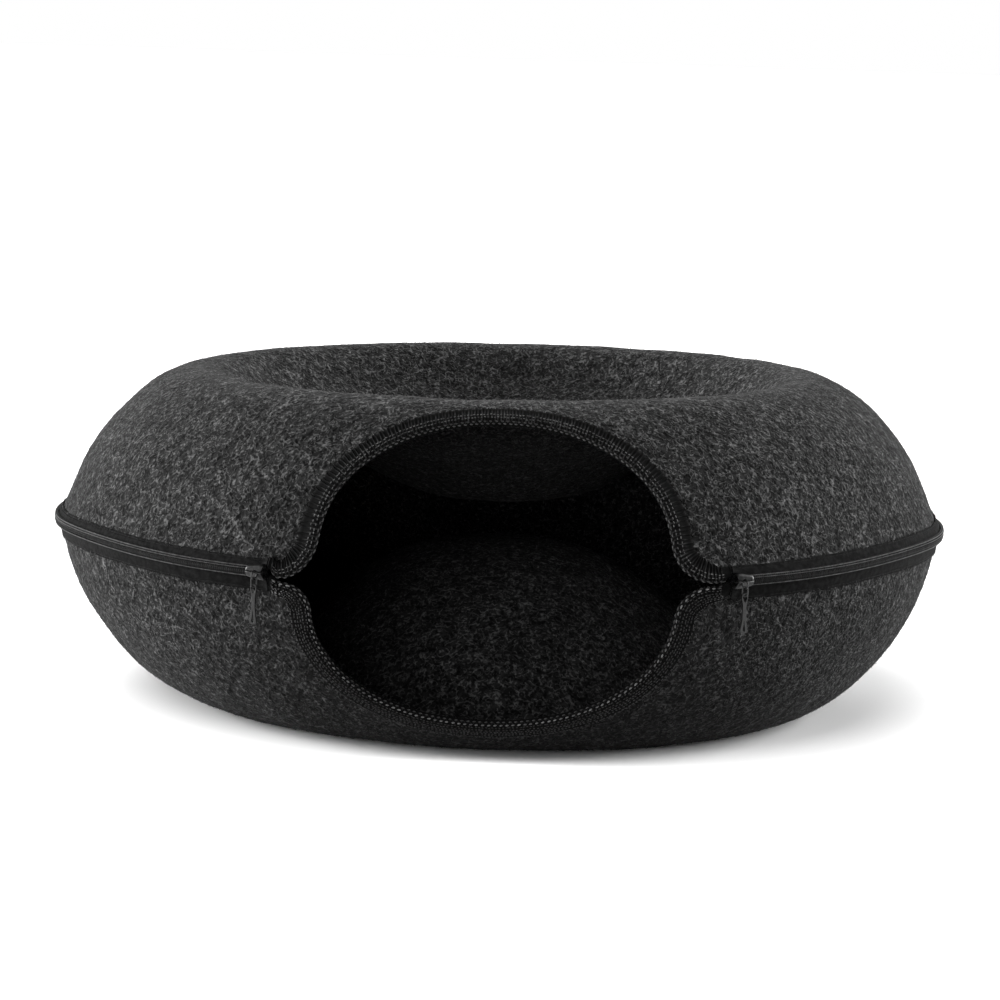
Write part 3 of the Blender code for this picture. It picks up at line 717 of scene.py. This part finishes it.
def edging_strip(band, half, material):
    """The band itself, a thin closed skin."""
    grid, normals = band.grid[:, 1:], band.normals[:, 1:]
    under = grid - normals * STRIP_THICKNESS
    columns, rows = grid.shape[:2]
    count = columns * rows
    quads = grid_faces(columns, rows).reshape(-1, 4)
    numbers = np.arange(count).reshape(columns, rows)
    border = np.concatenate([numbers[:, 0], numbers[-1, 1:], numbers[-2::-1, -1], numbers[0, -2:0:-1]])
    nxt = np.roll(border, -1)
    sides = np.stack([border, nxt, nxt + count, border + count], axis=1)
    pile = Pile()
    both = np.concatenate([grid.reshape(-1, 3), under.reshape(-1, 3)])
    pile.add(both, [quads[:, ::-1], quads + count, sides], half == "bottom", tone=0.2)
    return pile.make(f"edging_{half}_band", material, "edging", [f"edging_{half}"])


def add_loops(pile, band, half, lip_end):
    """Loops across the outer face: from one needle hole to the lip, round, and up to the next hole."""
    holes = np.arange(0.0022, band.length - 0.0022, LOOP_PITCH)
    holes = holes + random.normal(0, 0.00016, len(holes))
    down = np.array([0.0, 0.06, 0.16, 0.32, 0.50, 0.68, 0.84, 0.95])
    leg = 0.00010 + 0.00088 * smooth(down * 4.0)
    starts, gaps = holes[:-1, None], np.diff(holes)[:, None]
    tail = np.array([0.35, 0.5, 0.65])
    u = np.concatenate([starts + leg, starts + gaps * tail, starts + gaps - leg[::-1]], axis=1)
    w = np.concatenate([down, [1.0, 1.015, 1.0], down[::-1]]) * lip_end
    w[[0, -1]] = 0.004
    u += random.normal(0, 0.00022, (len(u), 1)) + random.normal(0, 0.00013, u.shape)
    height = np.full(len(w), 0.00026)
    height[[0, -1]] = -0.0002
    height[[1, -2]] = 0.0001
    reach = np.concatenate([down, [1, 1, 1], down[::-1]])
    # painted shade: each loop darkens towards its needle holes, on top of the halves' painted light and shade
    tone = LOOP_LIT_AND_SHADED_TONES[half] * (0.02 + 0.98 * smooth((reach - 0.22) * 1.8))
    tones = tone[None, :] * random.uniform(0.45, 1.0, (len(u), 1)) * random.uniform(0.0, 1.5, u.shape)
    points, out = band.at(u, w, height)
    tubes(pile, points, out, LOOP_RADIUS, 5, tone=tones)


def add_wraps(pile, band):
    """Fine slanted threads over the inner face."""
    wraps = np.arange(0.002, band.length - 0.002, WRAP_PITCH)
    wraps = wraps + random.normal(0, 0.0002, len(wraps))
    slant = random.choice([-1.0, 1.0], (len(wraps), 1)) * random.uniform(0.0003, 0.0011, (len(wraps), 1))
    steps = np.linspace(0, 1, 7)
    u = wraps[:, None] + slant * (steps - 0.5)
    w = band.inner_corner + (0.995 - band.inner_corner) * steps
    points, out = band.at(u, w, 0.00016)
    tubes(pile, points, out, WRAP_RADIUS, 5, tone=random.uniform(0.25, 0.7, (len(wraps), 1)))


def add_zigzag(pile, band, half):
    """A thread over the cut edge, between the rows of knots."""
    zig = np.arange(0.003, band.length - 0.003, BEAD_PITCH / 6)
    swing = np.abs((np.arange(len(zig)) / 3.0) % 2 - 1)
    first, second = (row[0] for row in KNOT_ROWS[half])
    points, out = band.at(zig, band.on_lip(first + (second - first) * swing), 0.0002)
    tubes(pile, points[None], out[None], ZIGZAG_RADIUS, 5, tone=0.40)


def add_knots(pile, band, half):
    """The two rows of bead-like knots on the lip."""
    knots = np.arange(0.004, band.length - 0.004, BEAD_PITCH)
    steps = np.linspace(-1, 1, 7)
    # painted highlight and shade, from the rows' tone
    for share, half_length, radius, tone, shift in KNOT_ROWS[half]:
        at = knots + shift * BEAD_PITCH + random.normal(0, 0.00012, len(knots))
        u = at[:, None] + steps * half_length
        height = 0.00020 + 0.00024 * (1 - steps**2)
        points, out = band.at(u, band.on_lip(share) + steps * 0.006, height)
        thickness = radius * np.sqrt(np.maximum(1 - (steps * 0.96) ** 2, 0.06))
        tubes(pile, points, out, thickness, 7, tone=tone * random.uniform(0.35, 1.0, (len(knots), 1)))


def add_specks(pile, band, half, lip_end):
    """Short stitches where the loops cross, in rows over the outer face."""
    left, right = SPECK_TONES_AND_SHADE[half]
    for share in SPECK_ROWS[half]:
        at = np.arange(0.003, band.length - 0.005, SPECK_PITCH) + random.uniform(0, SPECK_PITCH)
        ends_off = np.array([-1.0, 0.0, 1.0]) * SPECK_HALF_LENGTH
        u = at[:, None] + random.normal(0, 0.00022, (len(at), 1)) + ends_off
        w = lip_end * (share + random.normal(0, 0.014, (len(at), 1)))
        points, out = band.at(u, w, SPECK_HEIGHT)
        # painted shade: darker towards the right on the bottom
        tones = left + (right - left) * smooth(at / (band.length * 0.45))
        tones = tones * random.uniform(0.0, 1.0, len(at))
        tubes(pile, points, out, SPECK_RADIUS, 5, tone=tones[:, None])


def make_edging(half, band_material, thread, bead):
    """The overlocked edging: a dark band under looped threads, specks, and two rows of knots at the lip."""
    band = Band(half)
    strip = edging_strip(band, half, band_material)
    lip_end = band.on_lip(KNOT_ROWS[half][0][0])
    threads, beads = Pile(), Pile()
    add_loops(threads, band, half, lip_end)
    add_wraps(threads, band)
    add_zigzag(threads, band, half)
    threads = threads.make(f"edging_{half}_threads", thread, "edging")
    add_knots(beads, band, half)
    add_specks(beads, band, half, lip_end)
    beads = beads.make(f"edging_{half}_loops", bead, "edging")


# ---- zip
TAPE_WAVES = ((0.00012, 61.0, 0.0), (0.00022, 17.0, 1.0))  # height, rate round the rim, shift
STITCH_PITCH, STITCH_RADIUS, STITCH_INSIDE = 0.0029, 0.00016, 0.0010


def make_tape(half, material, thread):
    """The tape from the zip line to its border on the felt, grooved where it is sewn, and its stitches."""
    surface = HALVES[half]
    azimuth = zip_azimuths(TAPE_ENDS_BEFORE, TAPE_COLUMNS)
    edge, away, out, _ = zip_frames(half, azimuth)
    past = edge - away * (PROFILES[half][0][1] - TAPE_FROM_LINE) + out * (GAP + TAPE_BULGE)

    def on_felt(depth, height):
        return surface.points(azimuth, depth) + surface.normals(azimuth, depth) * height

    thick = TAPE_THICKNESS
    wave = sum(height * np.sin(azimuth * rate + shift) for height, rate, shift in TAPE_WAVES)
    overlap = tape_overlap(half, azimuth) + wave
    rows = [
        past,
        edge + out * GAP,
        on_felt(overlap / 2, GAP),
        on_felt(overlap, GAP * 0.5),
        on_felt(overlap + 0.0002, GAP + thick * 0.5),
        on_felt(overlap - 0.0002, GAP + thick),
        on_felt(overlap - 0.0007, GAP + thick * 0.86),
        on_felt(overlap - 0.0010, GAP + thick * 0.50),
        on_felt(overlap - 0.0014, GAP + thick * 0.9),
        on_felt(overlap * 0.50, GAP + thick * 1.05),
        on_felt(overlap * 0.32, GAP + thick * 1.1),
        on_felt(overlap * 0.14, GAP + thick * 1.1),
        edge + out * (GAP + thick + TAPE_BULGE * 0.6),
        past + out * thick,
    ]
    grid = np.stack(rows, axis=1)
    columns, count = grid.shape[:2]
    run = np.repeat(azimuth * RIM_RADIUS, count)
    pile = Pile()
    loft_closed(pile, grid, half == "bottom", run=run, across=np.tile(distances(grid), columns))
    tape = pile.make(f"zip_tape_{half}_woven", material, "zip_tape", [f"zip_tape_{half}"])

    stitches = Pile()
    pitch = STITCH_PITCH / RIM_RADIUS
    left, right = ends(TAPE_ENDS_BEFORE)
    starts = np.arange(right + pitch, math.tau + left - pitch, pitch)
    steps = np.linspace(-0.40, 0.40, 4)
    at = starts[:, None] + steps[None, :] * pitch
    depth = tape_overlap(half, at) - STITCH_INSIDE
    height = GAP + thick * np.array([0.40, 0.66, 0.66, 0.40])
    points = surface.points(at, depth) + surface.normals(at, depth) * height[None, :, None]
    tubes(stitches, points, surface.normals(at, depth), STITCH_RADIUS, 4, tone=0.0)
    return tape, stitches.make(f"zip_tape_{half}_stitches", thread, "zip_tape")


COIL_PITCH, COIL_RADIUS, COIL_FLATNESS = 0.00127, 0.00029, 0.8
COIL_TURN = np.array(  # away from the zip line, out from the coil's base, round the rim
    [
        (0.00262, 0.00030, -0.00022),
        (0.00248, 0.00118, -0.00016),
        (0.00140, 0.00166, -0.00004),
        (0.00030, 0.00150, 0.00008),
        (-0.00048, 0.00088, 0.00014),
    ]
)
COIL_CORE = (0.00135, 0.00085, 0.00062, 0.0)  # the cord inside the turns
# The cords' tone is painted light and shade: the top row's cords and the bottom row's outer cord are painted
# lit, and the bottom row's inner cord is painted in shade.
COIL_CORDS = {  # distance from the zip line, height on the coil, radius, tone
    "top": ((0.00240, 0.00165, 0.00028, 1.0), (0.00125, 0.00200, 0.00024, 0.8), COIL_CORE),
    "bottom": ((0.00255, 0.00150, 0.00026, 0.9), (0.00105, 0.00200, 0.00014, 0.05), COIL_CORE),
}


def make_coil(half, material, thread):
    """One row of the coil: turns, which mesh with the other row's, and the cords in and on them."""
    left, right = ends(COIL_ENDS_BEFORE)
    pitch = COIL_PITCH / RIM_RADIUS
    shift = 0.0 if half == "top" else 0.5
    azimuth = np.arange(right + (0.5 + shift) * pitch, math.tau + left, pitch)
    edge, away, out, run = zip_frames(half, azimuth)
    base = edge - away * PROFILES[half][0][1] + out * COIL_BASE_OUT
    turn = [COIL_TURN[:, k : k + 1] for k in range(3)]
    paths = base[:, None] + away * turn[0] + out[:, None] * turn[1] + run[:, None] * turn[2]
    turns = Pile()
    tones = random.uniform(0.1, 1.0, (len(azimuth), 1))
    tubes(turns, paths, out[:, None], COIL_RADIUS, 5, flat=COIL_FLATNESS, tone=tones)
    turns.make(f"zip_coil_{half}_turns", material, "zip_coil", [f"zip_coil_{half}"])
    cords = Pile()
    ripple = 0.00006 * np.sin(np.arange(len(azimuth)) * 2.3)
    # painted highlight and shade, from the cords' tone
    for across, up, radius, tone in COIL_CORDS[half]:
        path = (base + away * across + out * (up + ripple)[:, None])[None]
        tubes(cords, path, out[None], radius, 4, tone=tone * random.uniform(0.35, 1.0, len(azimuth)))
    cords.make(f"zip_coil_{half}_threads", thread, "zip_coil")


# ---- sliders
HANG_ALONG = 0.0020
HANG_OUT = 0.0082
RING_RADIUS, RING_HEIGHT, RING_WIRE = 0.0023, -0.00115, 0.00042
LINK_HALF_WIDTH, LINK_HALF_LENGTH, LINK_HEIGHT = 0.0014, 0.0025, -0.00485
LINK_TURN, LINK_WIRE = math.radians(45), 0.00036
PULL_HALF_THICKNESS, PULL_BEVEL = 0.00028, 0.00014
SLIDER_STATIONS = (  # along the zip towards the doorway, half width
    (-0.0052, 0.0022), (-0.0049, 0.0028), (-0.0040, 0.0031), (-0.0020, 0.0034), (0.0005, 0.0038),
    (0.0028, 0.0041), (0.0042, 0.0042), (0.0051, 0.0040), (0.0054, 0.0036),
)
# Back and front, then the stations: along the zip towards the doorway, half width.
SLIDER_BACK = (-0.0008, 0.0001, ((-0.0044, 0.0020), (-0.0020, 0.0025), (0.0030, 0.0028), (0.0050, 0.0026)))
SLIDER_WEDGE = (-0.0006, 0.0046, ((0.0012, 0.0003), (0.0030, 0.0010), (0.0045, 0.0010), (0.0050, 0.0006)))
BAIL_RADIUS = 0.00062
SLIDER_BAIL = (  # along the zip towards the doorway, out
    (-0.0041, 0.0047), (-0.0041, 0.0060), (-0.0036, 0.0069), (-0.0026, 0.0073), (0.0000, 0.0074),
    (0.0026, 0.0074), (0.0037, 0.0070), (0.0042, 0.0060), (0.0042, 0.0047),
)
PULL_SIDE = (  # height, half width
    (-0.0057, 0.0006), (-0.0060, 0.0013), (-0.0066, 0.0017), (-0.0080, 0.00178), (-0.0096, 0.0016),
    (-0.0113, 0.0012), (-0.0140, 0.00105), (-0.0175, 0.00110), (-0.0205, 0.0014), (-0.0235, 0.00195),
    (-0.0252, 0.00215), (-0.0261, 0.0018), (-0.0264, 0.0008),
)
PULL_SLOTS = (
    ((-0.0067, 0.0005), (-0.0070, 0.0011), (-0.0086, 0.0011), (-0.0102, 0.0004)),
    ((-0.0198, 0.0001), (-0.0220, 0.0003), (-0.0242, 0.00070), (-0.0250, 0.0006), (-0.0254, 0.0002)),
)


class Place:
    """A slider's own frame: along the zip towards the doorway, out, and up."""

    def __init__(self, side):
        azimuth = SLIDER_AZIMUTHS[side]
        self.sign = 1.0 if side == "left" else -1.0
        self.out = np.array([math.sin(azimuth), -math.cos(azimuth), 0.0])
        self.run = np.array([math.cos(azimuth), math.sin(azimuth), 0.0]) * self.sign
        height = ZIP_HEIGHT + float(waist_rise(azimuth))
        self.origin = np.array([0.0, AXIS_Y, height]) + self.out * RIM_RADIUS

    def points(self, local):
        local = np.asarray(local, float)
        up = np.array([0.0, 0.0, 1.0])
        return self.origin + local[..., :1] * self.run + local[..., 1:2] * self.out + local[..., 2:] * up


def make_slider(side, material):
    """The slider's shell, notched towards the doorway, its back plate, wedge and bail."""
    place = Place(side)
    flip = place.sign < 0
    pile = Pile()
    shell = []
    for along, w in SLIDER_STATIONS:
        outside = [(w, 0.0021), (w + 0.0001, 0.0036), (w - 0.0002, 0.0045), (w - 0.0009, 0.0050)]
        outside += [(w * 0.5, 0.00535), (0.0, 0.0055)]
        inside = [(w - 0.0007, 0.0021), (w - 0.0008, 0.0036), (w - 0.0014, 0.0042), (0.0, 0.0044)]
        outline = [(-up, out) for up, out in outside] + outside[-2::-1]
        outline += inside + [(-up, out) for up, out in inside[-2::-1]]
        end = max(0.0, (along - 0.0010) / 0.0044)
        notch = [0.0016 * end * (1 - abs(up) / (w + 0.0001)) for up, _ in outline]
        shell.append([(along - cut, out, up) for (up, out), cut in zip(outline, notch)])
    loft_closed(pile, place.points(shell), flip)
    for back, front, stations in (SLIDER_BACK, SLIDER_WEDGE):
        corners = ((-1, back), (-1, front), (1, front), (1, back))
        sections = [[(along, out, sign * w) for sign, out in corners] for along, w in stations]
        loft_closed(pile, place.points(sections), flip)
    path = np.column_stack([SLIDER_BAIL, np.zeros(len(SLIDER_BAIL))])
    tubes(pile, place.points(path)[None], np.array([0.0, 0.0, 1.0]), BAIL_RADIUS, 8, flat=0.85)
    return pile.make(f"slider_{side}_body", material, "metal", [f"slider_{side}"], sharp=math.radians(50))


def make_hanging(side, material):
    """The ring in the bail, the oval wire link in the ring, and the pull."""
    place = Place(side)
    base = np.array([HANG_ALONG, HANG_OUT, 0.0])
    angles = np.linspace(0, math.tau, 49)[:-1]
    ring = np.stack([angles * 0, np.cos(angles) * RING_RADIUS, np.sin(angles) * RING_RADIUS], axis=1)
    across = LINK_HALF_WIDTH * np.cos(angles)
    straight = LINK_HALF_LENGTH - LINK_HALF_WIDTH
    up = LINK_HALF_WIDTH * np.sin(angles) + np.sign(np.sin(angles)) * straight
    cos, sin = math.cos(LINK_TURN), math.sin(LINK_TURN)
    oval = np.stack([across * cos, -across * sin, up], axis=1)
    wires = (
        ("ring", RING_HEIGHT, ring, place.run, RING_WIRE),
        ("link", LINK_HEIGHT, oval, place.run * sin + place.out * cos, LINK_WIRE),
    )
    for name, height, path, normal, radius in wires:
        pile = Pile()
        tubes(pile, place.points(base + (0, 0, height) + path)[None], normal, radius, 8, closed=True)
        pile.make(f"{name}_{side}_wire", material, "metal", [f"{name}_{side}"])
    make_pull(side, place, base, material)


def rounded(outline, count):
    """A smooth closed outline through (height, half width) rows, mirrored left to right."""
    rows = np.array(outline)[:, ::-1]
    steps = distances(rows)
    line = natural_spline(steps, rows)
    right = np.array([line(s) for s in np.linspace(0, steps[-1], count)])
    right[:, 0] = np.maximum(right[:, 0], 0.00008)
    return np.concatenate([right, right[::-1] * (-1, 1)])


def make_pull(side, place, base, material):
    """The pull tab: a flat outline with two slots, filled, thickened and bevelled."""
    curve = bpy.data.curves.new(f"pull_{side}_shape", "CURVE")
    curve.dimensions = "2D"
    curve.fill_mode = "BOTH"
    curve.extrude = PULL_HALF_THICKNESS
    curve.bevel_depth = PULL_BEVEL
    curve.bevel_resolution = 2
    curve.offset = -PULL_BEVEL
    for outline, count in ((PULL_SIDE, 34), (PULL_SLOTS[0], 10), (PULL_SLOTS[1], 14)):
        points = rounded(outline, count)
        spline = curve.splines.new("POLY")
        spline.points.add(len(points) - 1)
        for point, (across, up) in zip(spline.points, points):
            point.co = (across, up, 0.0, 1.0)
        spline.use_cyclic_u = True
    shape = link(bpy.data.objects.new(f"pull_{side}_curve", curve))
    mesh = bpy.data.meshes.new_from_object(shape.evaluated_get(bpy.context.evaluated_depsgraph_get()))
    bpy.data.objects.remove(shape)
    mesh.name = f"pull_{side}_flat"
    mesh.materials.clear()
    mesh.materials.append(material)
    mesh.shade_smooth()
    mesh.set_sharp_from_angle(angle=math.radians(45))
    along = place.run * place.sign
    basis = Matrix([(*along, 0), (0, 0, 1, 0), (*place.out, 0), (0, 0, 0, 1)]).transposed()
    basis.translation = Vector(place.points(base))
    mesh.transform(basis)
    dress(bpy.data.objects.new(f"pull_{side}_flat", mesh), [f"pull_{side}"])


# ---- camera, floor and light
CAMERA_DISTANCE, CAMERA_ELEVATION, CAMERA_ROLL = 2.0, math.radians(10.64), math.radians(1.88)
CAMERA_TARGET_HEIGHT = 0.1097
CAMERA_LENS, CAMERA_SENSOR = 125.46, 36.0
FLOOR_HALF_SIZE, FLOOR_HEIGHT = 60.0, -0.0002


def make_camera():
    """At the photograph's viewing angle: a little above, level with the doorway's middle, slightly rolled."""
    away = Vector((0.0, -math.cos(CAMERA_ELEVATION), math.sin(CAMERA_ELEVATION))) * CAMERA_DISTANCE
    place = Vector((0.0, AXIS_Y, 0.0)) + away
    forward = (Vector((0.0, AXIS_Y, CAMERA_TARGET_HEIGHT)) - place).normalized()
    right = forward.cross(Vector((0, 0, 1))).normalized()
    up = right.cross(forward)
    cos, sin = math.cos(CAMERA_ROLL), math.sin(CAMERA_ROLL)
    turned = Matrix((right * cos + up * sin, up * cos - right * sin, -forward)).transposed().to_4x4()
    data = bpy.data.cameras.new("camera")
    data.lens = CAMERA_LENS
    data.sensor_width = CAMERA_SENSOR
    data.clip_end = 200.0
    camera = link(bpy.data.objects.new("camera", data))
    camera.matrix_world = Matrix.Translation(place) @ turned
    bpy.context.scene.camera = camera


def make_floor():
    g = Graph("floor")
    mesh = bpy.data.meshes.new("floor")
    corners = [(x, y) for x, y in ((-1, -1), (1, -1), (1, 1), (-1, 1))]
    points = [(x * FLOOR_HALF_SIZE, y * FLOOR_HALF_SIZE, FLOOR_HEIGHT) for x, y in corners]
    mesh.from_pydata(points, [], [(0, 1, 2, 3)])
    mesh.materials.append(g.set(Base_Color=(0.93, 0.93, 0.93, 1.0), Roughness=0.9, Specular_IOR_Level=0.1))
    floor = link(bpy.data.objects.new("floor", mesh))
    floor.visible_diffuse = False
    return floor


def make_sun(name, azimuth, elevation, strength, angle, only=None):
    """A broad soft light that comes from an azimuth (from the front, positive to the right) and elevation."""
    data = bpy.data.lights.new(name, "SUN")
    data.energy = strength
    data.angle = math.radians(angle)
    a, e = math.radians(azimuth), math.radians(elevation)
    source = Vector((math.sin(a) * math.cos(e), -math.cos(a) * math.cos(e), math.sin(e)))
    light = link(bpy.data.objects.new(name, data))
    light.rotation_euler = source.to_track_quat("Z", "Y").to_euler()
    if only:
        lit = bpy.data.collections.new(name + "_lights_only")
        lit.objects.link(only)
        light.light_linking.receiver_collection = lit


WORLD_ABOVE, WORLD_BELOW = 0.06, 0.0
HORIZON = (  # two ramps over the height of the view, multiplied: from, to, first value, last value
    (-0.03, -0.01, WORLD_BELOW, 1.0),
    (0.03, 0.12, 1.0, WORLD_ABOVE),
)
FLOOR_SUN = ("floor", -35, 62, 4.2, 60)
SUNS = (  # name, azimuth, elevation, strength, angular size
    ("left", -103, 9, 7.4, 36),
    ("right", 106, 20, 4.6, 36),
    ("back", 180, 33, 1.4, 40),
    ("front", -25, 10, 1.1, 50),
)


def make_light(floor):
    """Broad soft lights, a dim studio with a white horizon, and a light for the floor alone."""
    g = Graph("studio", "worlds", "Background")
    height = g.add("SeparateXYZ", {0: g.add("TexCoord").outputs["Generated"]}).outputs["Z"]
    strength = g.math("MULTIPLY", *(g.ramp(height, *row) for row in HORIZON))
    bpy.context.scene.world = g.set(Color=(1.0, 1.0, 1.0, 1.0), Strength=strength)
    for sun in SUNS:
        make_sun(*sun)
    make_sun(*FLOOR_SUN, only=floor)
    bpy.context.scene.view_settings.view_transform = "Standard"


# ---- the whole scene
def declare_felt(half):
    """Works out a moulded half's doorway edge, and does nothing further with it."""
    azimuth, along, _ = door_edge(half)


def main():
    make_camera()
    make_light(make_floor())
    felt = felt_material("felt")
    fibres = fibre_material("felt_fibres")
    band_material = thread_material("edging_band", 0.006, 0.040, 0.9, 0.04)
    thread = thread_material("edging_thread", 0.003, 0.150, 0.8, 0.04)
    bead = thread_material("edging_loops", 0.010, 0.80, 0.45, 0.4)
    tape_cloth = tape_material("zip_tape")
    tape_thread = thread_material("zip_thread", 0.003, 0.26, 0.6, 0.10)
    nylon = thread_material("zip_coil", 0.002, 0.050, 0.5, 0.10)
    metal = metal_material("metal")
    for half in ("top", "bottom"):
        felt_piece, outer, normals, past_cover = make_felt(half, felt, f"felt_{half}_cloth")
        nap = make_fibres(f"felt_{half}_fibres", fibres, outer, normals, past_cover, FIBRES_PER_HALF)
        make_edging(half, band_material, thread, bead)
        tape, stitches = make_tape(half, tape_cloth, tape_thread)
        make_coil(half, nylon, tape_thread)
        declare_felt(half)
    for side in ("left", "right"):
        make_slider(side, metal)
        make_hanging(side, metal)


main()
